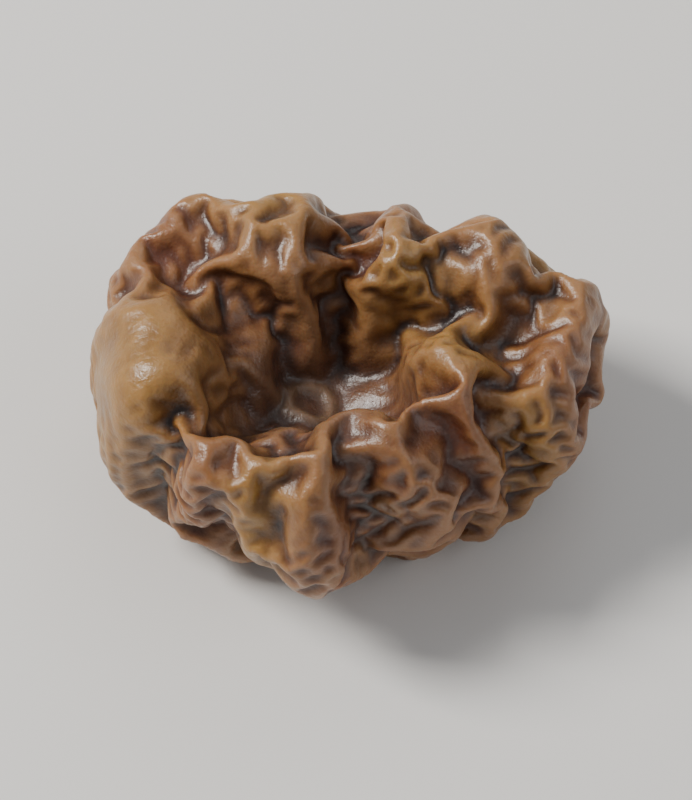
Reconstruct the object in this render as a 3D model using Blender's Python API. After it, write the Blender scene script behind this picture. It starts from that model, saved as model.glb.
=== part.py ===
"""A dried physalis berry: one collapsed, wrinkled fruit, lying on the side it dried on.

The skin of a round fruit is laid over a flattened body: out from the middle of the underside,
up the side, over the rim, and down into the hollow round the scar of the stalk. Then it is
folded and wrinkled. Metres, +Z up, with the origin under the middle and +Y towards the back.
"""

import math

import bmesh
import bpy
import numpy as np
from mathutils import Vector, noise

# Driving dimensions.
WIDTH = 0.0175  # along X, before the folds push the skin out
HEIGHT = 0.0088  # along Z, of the rim
GRID = 23  # faces along each side of the six-sided grid that wraps the fruit

# The plan's unit: the outline below is drawn 19 units wide.
UNIT = WIDTH / 19.0
HOLLOW_MIDDLE = Vector((-1.2, -0.7)) * UNIT

# The skin's way from the middle of the underside to the middle of the hollow: share of the
# outline's distance from the middle, and share of the height.
PROFILE = (
    (0.00, 0.00),
    (0.40, 0.01),
    (0.68, 0.08),
    (0.90, 0.26),
    (1.00, 0.50),
    (0.97, 0.72),
    (0.85, 0.90),
    (0.69, 0.98),
    (0.53, 0.97),
    (0.40, 0.88),
    (0.28, 0.75),
    (0.18, 0.64),
    (0.08, 0.60),
    (0.00, 0.59),
)
WALL = (0.55, 0.80)  # shares of that way between which the middle moves to the hollow's

# The outline in plan, anticlockwise from the right.
OUTLINE = (
    (9.5, 2.2),
    (8.6, 5.0),
    (3.2, 6.6),
    (-4.9, 6.7),
    (-8.7, 5.1),
    (-9.5, 1.2),
    (-9.2, -2.4),
    (-7.5, -4.6),
    (-4.7, -6.3),
    (-1.4, -7.4),
    (2.3, -5.8),
    (5.9, -4.6),
    (7.8, -2.7),
    (9.0, -0.2),
)

# Folds of the upper side, each along points in plan: how far the skin moves (out is plus, in
# is minus), how far to each side the fold reaches, and its points.
FOLDS = (
    # Plump places between the creases.
    (0.80, 2.4, ((-6.9, 1.0), (-7.0, -1.8))),
    (0.90, 1.4, ((1.7, 3.6), (1.3, 2.2))),
    (0.70, 1.5, ((3.7, -0.5), (4.0, -2.0))),
    (0.80, 1.4, ((8.2, 2.6), (7.8, -0.4), (7.5, -2.8))),
    (0.65, 1.7, ((4.8, 3.8), (6.2, 3.2))),
    (0.50, 1.5, ((-4.6, -5.2), (-3.2, -5.6))),
    (0.60, 1.3, ((-1.2, -6.0), (-1.3, -6.9))),
    (0.50, 1.3, ((2.0, -5.2), (4.0, -4.8))),
    (0.60, 1.4, ((-2.4, 5.2), (-4.4, 4.2))),
    (0.60, 1.0, ((-8.2, 3.4), (-7.4, 5.0), (-5.6, 6.0))),
    (0.45, 0.9, ((-4.2, 1.2), (-3.2, 2.3), (-1.8, 2.5), (-1.2, 1.6))),
    # Creases that run out from the hollow.
    (-1.10, 1.0, ((-3.6, -2.0), (-5.4, -3.2), (-7.2, -4.2), (-8.6, -4.9))),
    (-0.60, 0.9, ((-3.6, -4.0), (-4.2, -5.0), (-4.8, -6.0))),
    (-0.65, 0.9, ((-2.4, -4.4), (-2.7, -5.4), (-2.9, -6.6))),
    (-0.55, 0.8, ((-0.2, -4.4), (0.2, -5.2), (0.6, -6.4))),
    (-0.90, 1.0, ((1.4, -1.2), (2.1, -2.2), (3.0, -3.6), (4.2, -5.0))),
    (-1.10, 1.0, ((1.5, 1.2), (3.4, 1.1), (5.4, 0.4))),
    (-0.90, 1.0, ((0.0, 5.4), (-0.2, 3.8), (-0.6, 2.2))),
    (-0.70, 0.9, ((3.3, 6.0), (3.2, 4.6), (3.4, 2.6))),
    (-0.90, 1.0, ((-9.2, 2.7), (-6.8, 2.9), (-4.2, 1.9))),
    # Creases along the rim, and dimples.
    (-1.10, 1.0, ((7.9, 4.0), (6.8, 1.9), (5.9, -0.2), (5.7, -2.1), (6.5, -4.0))),
    (-1.30, 1.2, ((-6.9, 4.1), (-5.6, 4.3))),
    (-0.50, 1.1, ((6.9, 5.6), (7.2, 4.6))),
    (-0.60, 1.3, ((-6.6, -2.9), (-6.2, -3.6))),
)
FOLD_FADES = (0.20, 0.55)  # shares of the height between which these folds come in

# Slow swells over all of the skin, then upright wrinkles on its sides and underside.
SWELL = 0.9 * UNIT
SWELLS_ROUND = 1.6
WRINKLE = 1.5 * UNIT
WRINKLES_ROUND = 2.9
WRINKLE_STRETCH = 0.4  # wrinkles are this much finer round the fruit than up it
UPPER_WRINKLES = 0.35  # share of the wrinkles' depth that the upper side keeps
RELAXES = 4  # rounds of smoothing that round the folds' edges off
SETTLES = 0.9 * UNIT  # how much of the underside is pressed flat by lying on it


def smooth_step(low, high, value):
    share = np.clip((value - low) / (high - low), 0.0, 1.0)
    return share * share * (3.0 - 2.0 * share)


def smooth_curve(points, closed, steps=24):
    """Points along a Catmull-Rom curve that passes through the given ones."""
    given = np.array(points, float)
    if closed:
        padded = np.concatenate([given[-1:], given, given[:2]])
    else:
        before = 2 * given[:1] - given[1:2]
        after = 2 * given[-1:] - given[-2:-1]
        padded = np.concatenate([before, given, after])
    t = np.linspace(0.0, 1.0, steps, endpoint=False)[:, None]
    runs = []
    for a, b, c, d in zip(padded, padded[1:], padded[2:], padded[3:]):
        cubic = (-a + 3 * b - 3 * c + d) * t**3
        square = (2 * a - 5 * b + 4 * c - d) * t**2
        runs.append(0.5 * (cubic + square + (c - a) * t + 2 * b))
    return np.concatenate([*runs, padded[-2:-1]])


def share_of_length(points):
    """How far along the line through the points each of them is, from 0 to 1."""
    steps = np.linalg.norm(np.diff(points, axis=0), axis=1)
    reached = np.concatenate([[0.0], np.cumsum(steps)])
    return reached / reached[-1]


def wrapping_grid():
    """A six-sided grid on the unit sphere, its faces nearly equal in size."""
    grid = bmesh.new()
    bmesh.ops.create_cube(grid, size=2.0)
    bmesh.ops.subdivide_edges(grid, edges=grid.edges[:], cuts=GRID - 1, use_grid_fill=True)
    for vertex in grid.verts:
        evened = Vector([math.tan(c * math.pi / 4) for c in vertex.co])
        vertex.co = evened.normalized()
    return grid


def outline_reach(bearing):
    """How far the outline is from the middle, in metres, on each bearing in radians."""
    curve = smooth_curve(OUTLINE, closed=True) * UNIT
    bearings = np.unwrap(np.arctan2(curve[:, 1], curve[:, 0]))
    wrapped = bearings[0] + np.mod(bearing - bearings[0], 2 * math.pi)
    return np.interp(wrapped, bearings, np.linalg.norm(curve, axis=1))


def lay_on_body(directions):
    """Where each point of the round skin lies on the flattened body."""
    profile = smooth_curve(PROFILE, closed=False)
    way = share_of_length(profile * (WIDTH / 2, HEIGHT))
    polar = np.arccos(np.clip(-directions[:, 2], -1.0, 1.0)) / math.pi
    bearing = np.arctan2(directions[:, 1], directions[:, 0])
    reach = np.interp(polar, way, profile[:, 0]) * outline_reach(bearing)
    shift = smooth_step(*WALL, polar)
    x = reach * np.cos(bearing) + shift * HOLLOW_MIDDLE.x
    y = reach * np.sin(bearing) + shift * HOLLOW_MIDDLE.y
    return np.column_stack([x, y, np.interp(polar, way, profile[:, 1]) * HEIGHT])


def distance_to_line(plan, line):
    """How far each point in plan is from a line of two or more points."""
    nearest = np.full(len(plan), np.inf)
    for start, end in zip(line, line[1:]):
        run = end - start
        share = np.clip((plan - start) @ run / (run @ run), 0.0, 1.0)
        gap = np.linalg.norm(plan - start - share[:, None] * run, axis=1)
        nearest = np.minimum(nearest, gap)
    return nearest


def fold_offsets(places):
    """How far the folds of the upper side move each point along its normal."""
    moved = np.zeros(len(places))
    for height, reach, line in FOLDS:
        distance = distance_to_line(places[:, :2], np.array(line) * UNIT)
        moved += height * UNIT * np.exp(-((distance / (reach * UNIT)) ** 2))
    return moved * smooth_step(*FOLD_FADES, places[:, 2] / HEIGHT)


def swell_offsets(directions):
    return np.array([SWELL * noise.noise(Vector(d) * SWELLS_ROUND) for d in directions])


def wrinkle_offsets(directions, places):
    """Creases with round ridges between them, where the skin shrank onto the pulp."""
    upper = smooth_step(*FOLD_FADES, places[:, 2] / HEIGHT)
    depth = WRINKLE * (1.0 - (1.0 - UPPER_WRINKLES) * upper)
    moved = np.zeros(len(places))
    for i, (x, y, z) in enumerate(directions):
        point = Vector((x, y, WRINKLE_STRETCH * z)) * WRINKLES_ROUND
        point += noise.noise_vector(point * 0.8) * 0.5
        moved[i] = abs(noise.noise(point)) - 0.2
    return depth * moved


def make_berry():
    grid = wrapping_grid()
    directions = np.array([v.co for v in grid.verts])
    places = lay_on_body(directions)
    for vertex, place in zip(grid.verts, places):
        vertex.co = place
    grid.normal_update()
    normals = np.array([v.normal for v in grid.verts])
    offsets = fold_offsets(places) + swell_offsets(directions) + wrinkle_offsets(directions, places)
    for vertex, place in zip(grid.verts, places + normals * offsets[:, None]):
        vertex.co = place
    for _ in range(RELAXES):
        bmesh.ops.smooth_vert(
            grid, verts=grid.verts, factor=0.5, use_axis_x=True, use_axis_y=True, use_axis_z=True
        )
    low = min(v.co.z for v in grid.verts) + SETTLES
    middle_x = (min(v.co.x for v in grid.verts) + max(v.co.x for v in grid.verts)) / 2
    middle_y = (min(v.co.y for v in grid.verts) + max(v.co.y for v in grid.verts)) / 2
    for vertex in grid.verts:
        vertex.co -= Vector((middle_x, middle_y, low))
        vertex.co.z = max(vertex.co.z, 0.0)
    bmesh.ops.recalc_face_normals(grid, faces=grid.faces[:])
    mesh = bpy.data.meshes.new("berry")
    grid.to_mesh(mesh)
    grid.free()
    mesh.shade_smooth()
    berry = bpy.data.objects.new("berry", mesh)
    bpy.context.scene.collection.objects.link(berry)
    return berry


def dried_fruit_material():
    material = bpy.data.materials.new("dried_fruit")
    material.use_nodes = True
    shader = material.node_tree.nodes["Principled BSDF"]
    shader.inputs["Base Color"].default_value = (0.30, 0.12, 0.035, 1.0)
    shader.inputs["Roughness"].default_value = 0.45
    shader.inputs["Metallic"].default_value = 0.0
    return material


def main():
    for old in list(bpy.data.objects):
        bpy.data.objects.remove(old)
    make_berry().data.materials.append(dried_fruit_material())


main()
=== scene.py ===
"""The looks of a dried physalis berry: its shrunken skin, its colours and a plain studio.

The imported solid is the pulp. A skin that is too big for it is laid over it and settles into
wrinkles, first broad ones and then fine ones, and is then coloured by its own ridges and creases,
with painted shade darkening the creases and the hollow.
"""

import math

import bpy
import numpy as np
from mathutils import Euler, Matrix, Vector, noise


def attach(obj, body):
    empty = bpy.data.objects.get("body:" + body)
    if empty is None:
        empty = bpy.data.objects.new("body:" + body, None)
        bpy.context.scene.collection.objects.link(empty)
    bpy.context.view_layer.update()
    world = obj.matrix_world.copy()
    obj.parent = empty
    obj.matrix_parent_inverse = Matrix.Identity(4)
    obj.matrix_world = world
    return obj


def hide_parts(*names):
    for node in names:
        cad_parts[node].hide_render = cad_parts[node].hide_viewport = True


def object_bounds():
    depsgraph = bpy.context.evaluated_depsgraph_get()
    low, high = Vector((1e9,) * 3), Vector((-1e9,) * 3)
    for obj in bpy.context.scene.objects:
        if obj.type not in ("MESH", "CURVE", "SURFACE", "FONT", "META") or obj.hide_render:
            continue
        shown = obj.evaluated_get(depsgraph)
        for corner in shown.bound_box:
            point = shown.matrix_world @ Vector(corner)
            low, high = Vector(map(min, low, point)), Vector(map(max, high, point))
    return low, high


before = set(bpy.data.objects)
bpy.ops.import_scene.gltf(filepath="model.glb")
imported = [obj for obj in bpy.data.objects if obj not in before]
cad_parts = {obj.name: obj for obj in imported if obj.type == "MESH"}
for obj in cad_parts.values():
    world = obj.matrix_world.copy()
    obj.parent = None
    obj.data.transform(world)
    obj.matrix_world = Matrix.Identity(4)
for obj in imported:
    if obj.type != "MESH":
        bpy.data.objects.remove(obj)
cad_box = [list(corner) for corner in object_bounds()]

MM = 0.001
LOW = Vector(cad_box[0])
HIGH = Vector(cad_box[1])
SIZE = HIGH - LOW
MIDDLE = (LOW + HIGH) / 2

CAMERA_ELEVATION = math.radians(60)
LENS = 200.0  # millimetres
BERRY_SHARE = 0.74  # of the picture's width
PICTURE_SHAPE = 0.865  # the picture's width as a share of its height

# The skin settles twice, into broad and then into fine wrinkles. For each: the size of the mesh's
# cells, how the grid they are made in is turned, how many rounds of smoothing take the grid's
# steps out, how much too big the skin is everywhere and how much more it is round the hollow, the
# distance between wrinkles in cells, and how many steps it settles for. It starts a little inside
# the pulp's surface, so that the broad wrinkles end up about on it.
BROAD_CELL = 0.21 * MM
BROAD_TURN = (0.6, 0.4, 0.3)
BROAD_SMOOTHING = 4
BROAD_INSET = 0.20 * MM
BROAD_GROWTH = 0.14
BROAD_PLEATS = 0.14
BROAD_WAVE = 14.0
BROAD_STEPS = 300
FINE_CELL = 0.112 * MM
FINE_TURN = (-0.5, 0.7, -0.2)
FINE_SMOOTHING = 2
FINE_GROWTH = 0.14
FINE_PLEATS = 0.10
FINE_WAVE = 9.0
FINE_STEPS = 200
PATCHES = (5.0 * MM, 3.0 * MM)  # distance between slack places, for broad and for fine wrinkles

# How the skin moves as it settles. Its own stiffness is 1.
DIAGONAL_STIFFNESS = 0.5  # half: then no direction on the skin is stiffer than another
FIRST_DENTS = 0.02  # uneven start, in cells, which the wrinkles grow from
SOFT_DENT = 3.0  # cells of depth after which the pulp gives way more easily
STIFF_RIDGE = 4.0  # cells of height after which the pulp pulls back harder
SIDEWAYS_HOLD = 0.15  # how hard the pulp holds the skin along the surface, as a share
KEPT_SPEED = 0.92  # share of the speed that is left after a step
STEP = 0.3

# Seeds that show through the skin: how many, how wide, and how far they push it out.
SEEDS = 80
SEED_RADIUS = 0.75 * MM
SEED_HEIGHT = 0.07 * MM

# Places on the berry, in plan, as shares of half its width and half its depth.
HOLLOW = (-0.13, -0.09)
PAD = (-0.84, -0.08)


def in_plan(share):
    return np.array([MIDDLE.x + share[0] * SIZE.x / 2, MIDDLE.y + share[1] * SIZE.y / 2])


HOLLOW_AT = in_plan(HOLLOW)
PAD_AT = in_plan(PAD)
PAD_REACH = 3.4 * MM  # how far round the pad the skin is taut
RING_REACH = 5.5 * MM  # how far round the hollow the skin is pleated
FLOOR_REACH = 2.6 * MM  # and how far round its middle it isn't
SCAR_AT = HOLLOW_AT + np.array([-0.2, 0.5]) * MM
SCAR_RADIUS = 0.75 * MM
SCAR_HEIGHT = 0.11 * MM
HOLLOW_LOW, HOLLOW_HIGH = 0.2, 0.35  # shares of the height between which the hollow's skin begins
SIDE_LOW, SIDE_HIGH = 0.1, 0.6  # shares of the height between which a side turns into the top
TINT_LEFT_BELOW = 0.35  # share of the golden and redder tints that is left down the sides

# Where the skin is more golden and where it is redder: places in plan as above, and reaches.
GOLDEN = (
    ((-0.86, -0.10), 3.2 * MM),
    ((0.22, 0.42), 1.7 * MM),
    ((0.46, 0.02), 1.5 * MM),
    ((-0.34, -0.80), 1.4 * MM),
    ((0.70, -0.35), 1.3 * MM),
    ((-0.30, 0.85), 2.0 * MM),
    ((0.80, 0.75), 2.0 * MM),
)
REDDISH = (
    ((0.50, -0.38), 1.5 * MM),
    ((-0.72, 0.62), 1.7 * MM),
    ((0.02, -0.95), 1.4 * MM),
    ((-0.50, -0.62), 1.2 * MM),
    ((0.05, 0.55), 1.2 * MM),
    ((0.95, -0.1), 1.6 * MM),
)


# ---------------------------------------------------------------- mesh arithmetic


class Skin:
    """A closed mesh of quads as arrays: points, quads and the lines between the points."""

    def __init__(self, mesh):
        self.points = np.empty(len(mesh.vertices) * 3)
        mesh.vertices.foreach_get("co", self.points)
        self.points = self.points.reshape(-1, 3)
        self.quads = np.empty(len(mesh.loops), dtype=np.int32)
        mesh.loops.foreach_get("vertex_index", self.quads)
        self.quads = self.quads.reshape(-1, 4)
        edges = np.empty(len(mesh.edges) * 2, dtype=np.int32)
        mesh.edges.foreach_get("vertices", edges)
        self.edges = edges.reshape(-1, 2)
        diagonals = np.concatenate([self.quads[:, [0, 2]], self.quads[:, [1, 3]]])
        self.springs = np.concatenate([self.edges, diagonals])
        counts = [len(self.edges), len(diagonals)]
        self.stiffness = np.repeat([1.0, DIAGONAL_STIFFNESS], counts)
        ends = np.concatenate([self.edges[:, 0], self.edges[:, 1]])
        self.neighbours = np.bincount(ends, minlength=len(self.points))[:, None].astype(float)
        self.seeds = np.zeros(len(self.points))  # 0 to 1: how much each point is over a seed
        self.scar = np.zeros(len(self.points))  # and how much over the scar of the stalk

    def gather(self, ends, values):
        """Sum of the values at each point, for an array of points that the values belong to."""
        count = len(self.points)
        return np.column_stack([np.bincount(ends, values[:, i], count) for i in range(3)])

    def bend(self, values):
        """How far the mean of each point's neighbours is from the point."""
        a, b = self.edges.T
        total = self.gather(a, values[b]) + self.gather(b, values[a])
        return total / self.neighbours - values

    def normals(self):
        a, b, c, d = (self.points[self.quads[:, i]] for i in range(4))
        faces = np.cross(c - a, d - b)
        total = sum(self.gather(self.quads[:, i], faces) for i in range(4))
        return total / np.linalg.norm(total, axis=1, keepdims=True)

    def smoothed(self, values, rounds):
        for _ in range(rounds):
            values = values + 0.5 * self.bend(values)
        return values


def remeshed(mesh, cell, turn):
    """The mesh again, in even quads of about the given size, made in rows along a turned grid."""
    turned = Euler(turn).to_matrix().to_4x4()
    mesh.transform(turned)
    holder = bpy.data.objects.new("remesh", mesh)
    bpy.context.scene.collection.objects.link(holder)
    modifier = holder.modifiers.new("even", "REMESH")
    modifier.mode = "VOXEL"
    modifier.voxel_size = cell
    modifier.adaptivity = 0.0
    depsgraph = bpy.context.evaluated_depsgraph_get()
    even = bpy.data.meshes.new_from_object(holder.evaluated_get(depsgraph))
    even.transform(turned.inverted())
    bpy.data.objects.remove(holder)
    return even


def mesh_of(skin, name):
    mesh = bpy.data.meshes.new(name)
    mesh.from_pydata(skin.points.tolist(), [], skin.quads.tolist())
    return mesh


def noise_at(points, wave, seed):
    """Smooth noise from about -1 to 1 at each point, with the given distance between swells."""
    shift = Vector((13.7, 5.1, 9.3)) * seed
    return np.array([noise.noise(Vector(p) / wave + shift) for p in points])


def smooth_step(low, high, value):
    share = np.clip((value - low) / (high - low), 0.0, 1.0)
    return share * share * (3.0 - 2.0 * share)


def share_of_height(points):
    return (points[:, 2] - LOW.z) / SIZE.z


# ---------------------------------------------------------------- the wrinkling skin


def settle(skin, wave_cells, growth, round_growth, steps):
    """Let a skin that has outgrown its pulp settle into wrinkles.

    wave_cells is the distance between wrinkles, in cells of the mesh. growth is how much too big
    the skin is at each point, and round_growth how much more it is round the hollow.
    """
    anchors = skin.points.copy()
    out = skin.normals()
    a, b = skin.springs.T
    lines = anchors[b] - anchors[a]
    lengths = np.linalg.norm(lines, axis=1)
    cell = np.median(np.linalg.norm(anchors[skin.edges[:, 1]] - anchors[skin.edges[:, 0]], axis=1))
    # How much each line runs round the hollow, from 0 for one that runs out from it to 1. The lines
    # round it are the ones that the extra length there folds into pleats.
    middles = (anchors[a] + anchors[b])[:, :2] / 2 - HOLLOW_AT
    around = np.column_stack([-middles[:, 1], middles[:, 0], np.zeros(len(middles))])
    around /= np.linalg.norm(around, axis=1, keepdims=True) + 1e-9
    turned = np.einsum("ij,ij->i", lines, around) / lengths
    grown = (growth[a] + growth[b]) / 2 + turned**2 * (round_growth[a] + round_growth[b]) / 2
    wanted = lengths * (1.0 + grown)

    pulp = (math.pi / wave_cells) ** 4  # stiffness of the pulp, where the skin's is 1
    rng = np.random.default_rng(7)
    skin.points = anchors + out * (rng.normal(0.0, FIRST_DENTS, len(out)) * cell)[:, None]
    speed = np.zeros_like(anchors)
    for _ in range(steps):
        lines = skin.points[b] - skin.points[a]
        lengths = np.linalg.norm(lines, axis=1)
        pull = lines * (skin.stiffness * (1.0 - wanted / lengths))[:, None]
        force = skin.gather(a, pull) - skin.gather(b, pull)
        moved = skin.points - anchors
        force -= skin.bend(skin.bend(moved))
        rise = np.einsum("ij,ij->i", moved, out)
        dented = rise / (1.0 - rise / (SOFT_DENT * cell))
        raised = rise * (1.0 + rise / (STIFF_RIDGE * cell))
        eased = np.where(rise < 0.0, dented, raised)
        force -= pulp * (eased[:, None] * out + SIDEWAYS_HOLD * (moved - rise[:, None] * out))
        speed = KEPT_SPEED * speed + STEP * force
        skin.points = skin.points + STEP * speed
        skin.points[:, 2] = np.maximum(skin.points[:, 2], LOW.z)


def near(points, place, reach):
    """1 at a place in plan, falling to 0 far from it."""
    away = np.linalg.norm(points[:, :2] - place, axis=1) / reach
    return np.exp(-(away**2))


def over_hollow(points, reach):
    """1 in the middle of the hollow, falling to 0 away from it and on the underside."""
    upper = smooth_step(HOLLOW_LOW, HOLLOW_HIGH, share_of_height(points))
    return near(points, HOLLOW_AT, reach) * upper


def pleated_ring(points):
    """1 on the ring round the hollow where the skin is gathered, 0 in its middle and far away."""
    ring = near(points, HOLLOW_AT, RING_REACH) - near(points, HOLLOW_AT, FLOOR_REACH)
    return np.maximum(ring, 0.0)


def scar_ring(points):
    """0 to 1: the low corky ring in the hollow, where the stalk was."""
    upper = smooth_step(HOLLOW_LOW, HOLLOW_HIGH, share_of_height(points))
    away = np.linalg.norm(points[:, :2] - SCAR_AT, axis=1)
    # Out of round, as a torn-off stalk leaves it.
    away += 0.4 * SCAR_RADIUS * noise_at(points, 1.1 * MM, 4)
    return np.exp(-(((away - SCAR_RADIUS) / (0.35 * SCAR_RADIUS)) ** 2)) * upper


def taut_pad(points):
    """1 on the smooth pad, falling to 0 round it and down the side below it."""
    upper = smooth_step(SIDE_LOW, SIDE_HIGH, share_of_height(points))
    return near(points, PAD_AT, PAD_REACH) * upper


def tinted(points, places):
    """How much each point is tinted by places given in plan, less down the sides."""
    upper = smooth_step(SIDE_LOW, SIDE_HIGH, share_of_height(points))
    kept = TINT_LEFT_BELOW + (1.0 - TINT_LEFT_BELOW) * upper
    return sum(near(points, in_plan(at), reach) for at, reach in places) * kept


def seed_mounds(points):
    """0 to 1: how much each point is over one of the flat seeds under the skin."""
    rng = np.random.default_rng(3)
    mounds = np.zeros(len(points))
    for middle in points[rng.integers(0, len(points), SEEDS)]:
        radius = SEED_RADIUS * rng.uniform(0.8, 1.1)
        away = np.linalg.norm(points - middle, axis=1) / radius
        mounds = np.maximum(mounds, 1.0 - smooth_step(0.55, 1.1, away))  # flat, with a soft edge
    return mounds


def shrunken_skin():
    """The wrinkled skin of the berry, settled in broad and then in fine wrinkles."""
    skin = Skin(remeshed(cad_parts["berry"].data.copy(), BROAD_CELL, BROAD_TURN))
    skin.points = skin.smoothed(skin.points, BROAD_SMOOTHING)

    inset = smooth_step(0.0, 1.0 * MM, skin.points[:, 2] - LOW.z) * BROAD_INSET
    skin.points = skin.points - skin.normals() * inset[:, None]
    patchy = noise_at(skin.points, PATCHES[0], 1)
    taut = taut_pad(skin.points)
    ring = pleated_ring(skin.points)
    # Slack in patches, less on the ring, where pleats take it up, and hardly any on the pad.
    growth = BROAD_GROWTH * (1.0 + 0.5 * patchy - 0.4 * ring) * (1.0 - 0.9 * taut)
    pleats = BROAD_PLEATS * ring * (1.0 - taut)
    settle(skin, BROAD_WAVE, np.maximum(growth, 0.0), pleats, BROAD_STEPS)

    skin = Skin(remeshed(mesh_of(skin, "skin"), FINE_CELL, FINE_TURN))
    skin.points = skin.smoothed(skin.points, FINE_SMOOTHING)
    patchy = noise_at(skin.points, PATCHES[1], 2)
    taut = taut_pad(skin.points)
    ring = pleated_ring(skin.points)
    floor = over_hollow(skin.points, FLOOR_REACH)
    skin.seeds = seed_mounds(skin.points) * (1.0 - floor) * (1.0 - taut)
    skin.scar = scar_ring(skin.points)
    raised = skin.seeds * SEED_HEIGHT + skin.scar * SCAR_HEIGHT
    skin.points = skin.points + skin.normals() * raised[:, None]
    # Slack in patches again, less over seeds and in the hollow, and little on the pad.
    growth = FINE_GROWTH * np.clip(0.8 + 0.9 * patchy, 0.1, 2.0)
    growth *= (1.0 - 0.5 * skin.seeds) * (1.0 - 0.8 * taut) * (1.0 - 0.5 * floor)
    settle(skin, FINE_WAVE, growth, FINE_PLEATS * ring * (1.0 - taut), FINE_STEPS)
    return skin


# ---------------------------------------------------------------- what the material reads

# A point's place between crease and ridge is measured against the skin after this many rounds of
# smoothing, and the whole range from the deepest crease to the highest ridge is this far.
FINE_ROUNDS = 12
FINE_RANGE = 0.10 * MM
BROAD_ROUNDS = 160
BROAD_RANGE = 0.9 * MM
HOLLOW_SHADE_REACH = 2.8 * MM  # how far round its middle the hollow is darkened with painted shade


def add_value(mesh, name, values):
    """A value from 0 to 1 at each point of the mesh, which the material reads by name."""
    layer = mesh.attributes.new(name, "FLOAT", "POINT")
    layer.data.foreach_set("value", np.clip(values, 0.0, 1.0).astype(np.float32))


def standing_out(skin, rounds):
    """How far each point stands out of the skin's own smoothed shape, in metres."""
    out = skin.normals()
    return np.einsum("ij,ij->i", skin.points - skin.smoothed(skin.points, rounds), out)


def berry_piece():
    skin = shrunken_skin()
    mesh = mesh_of(skin, "dried_skin")
    fine = standing_out(skin, FINE_ROUNDS)
    broad = standing_out(skin, BROAD_ROUNDS)
    add_value(mesh, "fine_ridge", 0.5 + fine / FINE_RANGE)
    add_value(mesh, "broad_ridge", 0.5 + broad / BROAD_RANGE)
    # The hollow's value places painted shade, darkest in its middle.
    add_value(mesh, "hollow", over_hollow(skin.points, HOLLOW_SHADE_REACH))
    add_value(mesh, "golden", tinted(skin.points, GOLDEN))
    add_value(mesh, "reddish", tinted(skin.points, REDDISH))
    add_value(mesh, "seed", skin.seeds)
    add_value(mesh, "scar", skin.scar)
    mesh.shade_smooth()
    piece = bpy.data.objects.new("dried_skin", mesh)
    bpy.context.scene.collection.objects.link(piece)
    return piece


# ---------------------------------------------------------------- material


def opaque(color):
    return (*color, 1.0)


class Nodes:
    """A short way to build a node tree: each call adds a node and returns its output."""

    def __init__(self, material):
        material.use_nodes = True
        self.tree = material.node_tree
        self.shader = self.tree.nodes["Principled BSDF"]

    def link(self, value, socket):
        if isinstance(value, bpy.types.NodeSocket):
            self.tree.links.new(value, socket)
        else:
            socket.default_value = value

    def attribute(self, name):
        node = self.tree.nodes.new("ShaderNodeAttribute")
        node.attribute_name = name
        return node.outputs["Fac"]

    def math(self, operation, a, b=0.0, clamp=False):
        node = self.tree.nodes.new("ShaderNodeMath")
        node.operation = operation
        node.use_clamp = clamp
        self.link(a, node.inputs[0])
        self.link(b, node.inputs[1])
        return node.outputs[0]

    def noise(self, wave, detail=4.0, roughness=0.55):
        """Noise from 0 to 1, with the given distance between its blotches."""
        place = self.tree.nodes.new("ShaderNodeTexCoord").outputs["Object"]
        node = self.tree.nodes.new("ShaderNodeTexNoise")
        self.link(place, node.inputs["Vector"])
        node.inputs["Scale"].default_value = 1.0 / wave
        node.inputs["Detail"].default_value = detail
        node.inputs["Roughness"].default_value = roughness
        return node.outputs["Fac"]

    def cells(self, wave):
        """Distance from the middle of the nearest of many small cells."""
        place = self.tree.nodes.new("ShaderNodeTexCoord").outputs["Object"]
        node = self.tree.nodes.new("ShaderNodeTexVoronoi")
        node.feature = "SMOOTH_F1"
        self.link(place, node.inputs["Vector"])
        node.inputs["Scale"].default_value = 1.0 / wave
        return node.outputs["Distance"]

    def ramp(self, factor, stops):
        node = self.tree.nodes.new("ShaderNodeValToRGB")
        self.link(factor, node.inputs["Fac"])
        ramp = node.color_ramp
        while len(ramp.elements) < len(stops):
            ramp.elements.new(0.5)
        for element, (position, color) in zip(ramp.elements, stops):
            element.position = position
            element.color = opaque(color)
        return node.outputs["Color"]

    def mix(self, factor, a, b):
        node = self.tree.nodes.new("ShaderNodeMix")
        node.data_type = "RGBA"
        self.link(factor, node.inputs["Factor"])
        self.link(a, node.inputs["A"])
        self.link(b, node.inputs["B"])
        return node.outputs["Result"]

    def bump(self, height, distance, strength, below=None):
        node = self.tree.nodes.new("ShaderNodeBump")
        node.inputs["Strength"].default_value = strength
        node.inputs["Distance"].default_value = distance
        self.link(height, node.inputs["Height"])
        if below is not None:
            self.link(below, node.inputs["Normal"])
        return node.outputs["Normal"]


# The darkest colour is painted shade for the creases, not a colour of the skin.
PAINTED_CREASE_SHADE = (0.022, 0.007, 0.004)
RED_BROWN = (0.080, 0.027, 0.012)
BROWN = (0.132, 0.050, 0.020)
LIGHT_BROWN = (0.205, 0.086, 0.031)
RIDGE = (0.305, 0.145, 0.056)
DARK_GOLD = (0.190, 0.085, 0.014)
GOLD = (0.360, 0.195, 0.048)
RED = (0.140, 0.032, 0.014)
# Painted shade for the hollow.
HOLLOW_SHADE_BROWN = (0.075, 0.043, 0.034)
SEED_TAN = (0.360, 0.200, 0.080)
CORK = (0.230, 0.150, 0.090)

# Colours from the creases to the ridges, each at its height from 0 to 1: the skin's own browns and
# golds, darkened towards painted shade in the creases.
SKIN_AND_CREASE_SHADE_COLORS = [(0.12, PAINTED_CREASE_SHADE), (0.28, RED_BROWN), (0.42, BROWN), (0.58, LIGHT_BROWN), (0.80, RIDGE)]
GOLDEN_AND_CREASE_SHADE_COLORS = [(0.15, PAINTED_CREASE_SHADE), (0.35, DARK_GOLD), (0.65, GOLD)]

# The height is made of the fine and the broad ridges, is lifted a little, and is blurred by
# blotches and by a finer mottle, because the colour doesn't follow the wrinkles everywhere.
FINE_PART = 0.50
BROAD_PART = 0.32
LIFT = 0.09
BLOTCH_PART = 0.7
MOTTLE_PART = 0.3

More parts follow.
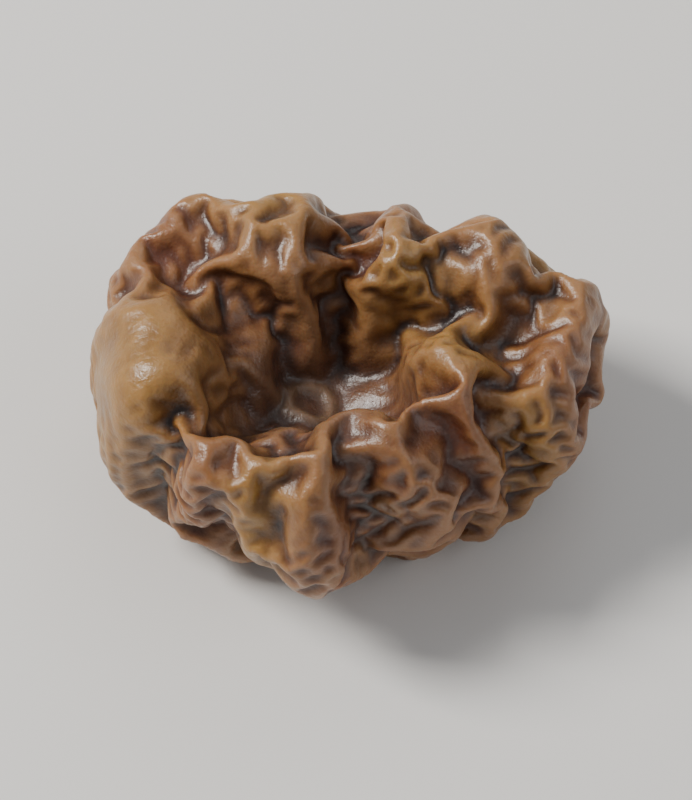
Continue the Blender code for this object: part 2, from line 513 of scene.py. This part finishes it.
# Distances between the blotches, the specks of the mottle, and the grains and crinkles of the
# surface, which are too small to be in the mesh.
BLOTCH_WAVE = 2.2 * MM
MOTTLE_WAVE = 0.4 * MM
GRAIN_WAVE = 0.14 * MM
CRINKLE_WAVE = 0.28 * MM


def skin_material():
    material = bpy.data.materials.new("dried_skin")
    n = Nodes(material)
    blotches = n.noise(BLOTCH_WAVE)
    mottle = n.noise(MOTTLE_WAVE)
    height = n.math("MULTIPLY", n.attribute("fine_ridge"), FINE_PART)
    height = n.math("ADD", height, n.math("MULTIPLY", n.attribute("broad_ridge"), BROAD_PART))
    height = n.math("ADD", height, LIFT)
    blur = n.math("MULTIPLY", n.math("SUBTRACT", blotches, 0.5), BLOTCH_PART)
    height = n.math("ADD", height, blur)
    blur = n.math("MULTIPLY", n.math("SUBTRACT", mottle, 0.5), MOTTLE_PART)
    height = n.math("ADD", height, blur, clamp=True)
    # Both ramps lay painted shade into the creases and the skin's own colour on the ridges.
    color = n.ramp(height, SKIN_AND_CREASE_SHADE_COLORS)
    golden = n.ramp(height, GOLDEN_AND_CREASE_SHADE_COLORS)
    color = n.mix(n.math("MULTIPLY", n.attribute("golden"), 0.85), color, golden)
    color = n.mix(n.math("MULTIPLY", n.attribute("reddish"), 0.40), color, opaque(RED))
    color = n.mix(n.math("MULTIPLY", n.attribute("seed"), 0.28), color, opaque(SEED_TAN))
    # The hollow is darkened with painted shade.
    color = n.mix(n.math("MULTIPLY", n.attribute("hollow"), 0.75), color, opaque(HOLLOW_SHADE_BROWN))
    color = n.mix(n.math("MULTIPLY", n.attribute("scar"), 0.45), color, opaque(CORK))
    shader = n.shader
    n.link(color, shader.inputs["Base Color"])
    n.link(n.math("ADD", n.math("MULTIPLY", mottle, 0.45), 0.18), shader.inputs["Roughness"])
    grain = n.bump(n.noise(GRAIN_WAVE, detail=3.0), 0.03 * MM, 0.9)
    crinkle = n.bump(n.cells(CRINKLE_WAVE), 0.04 * MM, 0.5, below=grain)
    n.link(crinkle, shader.inputs["Normal"])
    n.link(grain, shader.inputs["Coat Normal"])
    shader.inputs["Subsurface Weight"].default_value = 0.3
    shader.inputs["Subsurface Radius"].default_value = (1.0, 0.35, 0.12)
    shader.inputs["Subsurface Scale"].default_value = 0.7 * MM
    shader.inputs["Coat Weight"].default_value = 0.25
    shader.inputs["Coat Roughness"].default_value = 0.28
    return material


# ---------------------------------------------------------------- studio

FLOOR_HALF = 1.5  # half the floor's width, in metres
FLOOR_COLOR = (0.80, 0.785, 0.76)
SKY_COLOR = (0.95, 0.97, 1.0)
SKY_STRENGTH = 0.26

# Square soft lights: the bearing, seen from the camera's side, and the elevation in degrees, the
# distance and the size in metres, the watts and the colour.
LIGHTS = (
    ("key", -105, 46, 0.30, 0.09, 1.15, (1.0, 0.97, 0.93)),
    ("fill", 75, 40, 0.35, 0.25, 0.26, (0.95, 0.97, 1.0)),
    ("back", 165, 40, 0.40, 0.25, 0.22, (1.0, 1.0, 1.0)),
)


def add_floor():
    mesh = bpy.data.meshes.new("floor")
    sides = ((-1, -1), (1, -1), (1, 1), (-1, 1))
    corners = [(x * FLOOR_HALF, y * FLOOR_HALF, LOW.z) for x, y in sides]
    mesh.from_pydata(corners, [], [(0, 1, 2, 3)])
    floor = bpy.data.objects.new("floor", mesh)
    bpy.context.scene.collection.objects.link(floor)
    material = bpy.data.materials.new("floor")
    material.use_nodes = True
    shader = material.node_tree.nodes["Principled BSDF"]
    shader.inputs["Base Color"].default_value = opaque(FLOOR_COLOR)
    shader.inputs["Roughness"].default_value = 0.8
    mesh.materials.append(material)


def look_at(thing, target):
    thing.rotation_euler = (target - thing.location).to_track_quat("-Z", "Y").to_euler()


def add_light(name, azimuth, elevation, distance, size, watts, color):
    """A square soft light aimed at the berry."""
    data = bpy.data.lights.new(name, "AREA")
    data.shape = "SQUARE"
    data.size = size
    data.energy = watts
    data.color = color
    light = bpy.data.objects.new(name, data)
    azimuth, elevation = math.radians(azimuth), math.radians(elevation)
    flat = math.cos(elevation)
    way = Vector((math.sin(azimuth) * flat, -math.cos(azimuth) * flat, math.sin(elevation)))
    light.location = MIDDLE + way * distance
    look_at(light, MIDDLE)
    bpy.context.scene.collection.objects.link(light)


def add_studio():
    world = bpy.data.worlds.new("studio")
    world.use_nodes = True
    background = world.node_tree.nodes["Background"]
    background.inputs["Color"].default_value = opaque(SKY_COLOR)
    background.inputs["Strength"].default_value = SKY_STRENGTH
    bpy.context.scene.world = world
    for light in LIGHTS:
        add_light(*light)


def add_camera():
    data = bpy.data.cameras.new("camera")
    data.lens = LENS
    data.clip_start = 0.01
    camera = bpy.data.objects.new("camera", data)
    seen_width = SIZE.x / BERRY_SHARE
    distance = seen_width * LENS / (data.sensor_width * PICTURE_SHAPE)
    way = Vector((0.0, -math.cos(CAMERA_ELEVATION), math.sin(CAMERA_ELEVATION)))
    camera.location = MIDDLE + way * distance
    look_at(camera, MIDDLE)
    bpy.context.scene.collection.objects.link(camera)
    bpy.context.scene.camera = camera


add_camera()
add_studio()
add_floor()
berry = berry_piece()
berry.data.materials.append(skin_material())
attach(berry, "root")
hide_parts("berry")
bpy.context.view_layer.update()
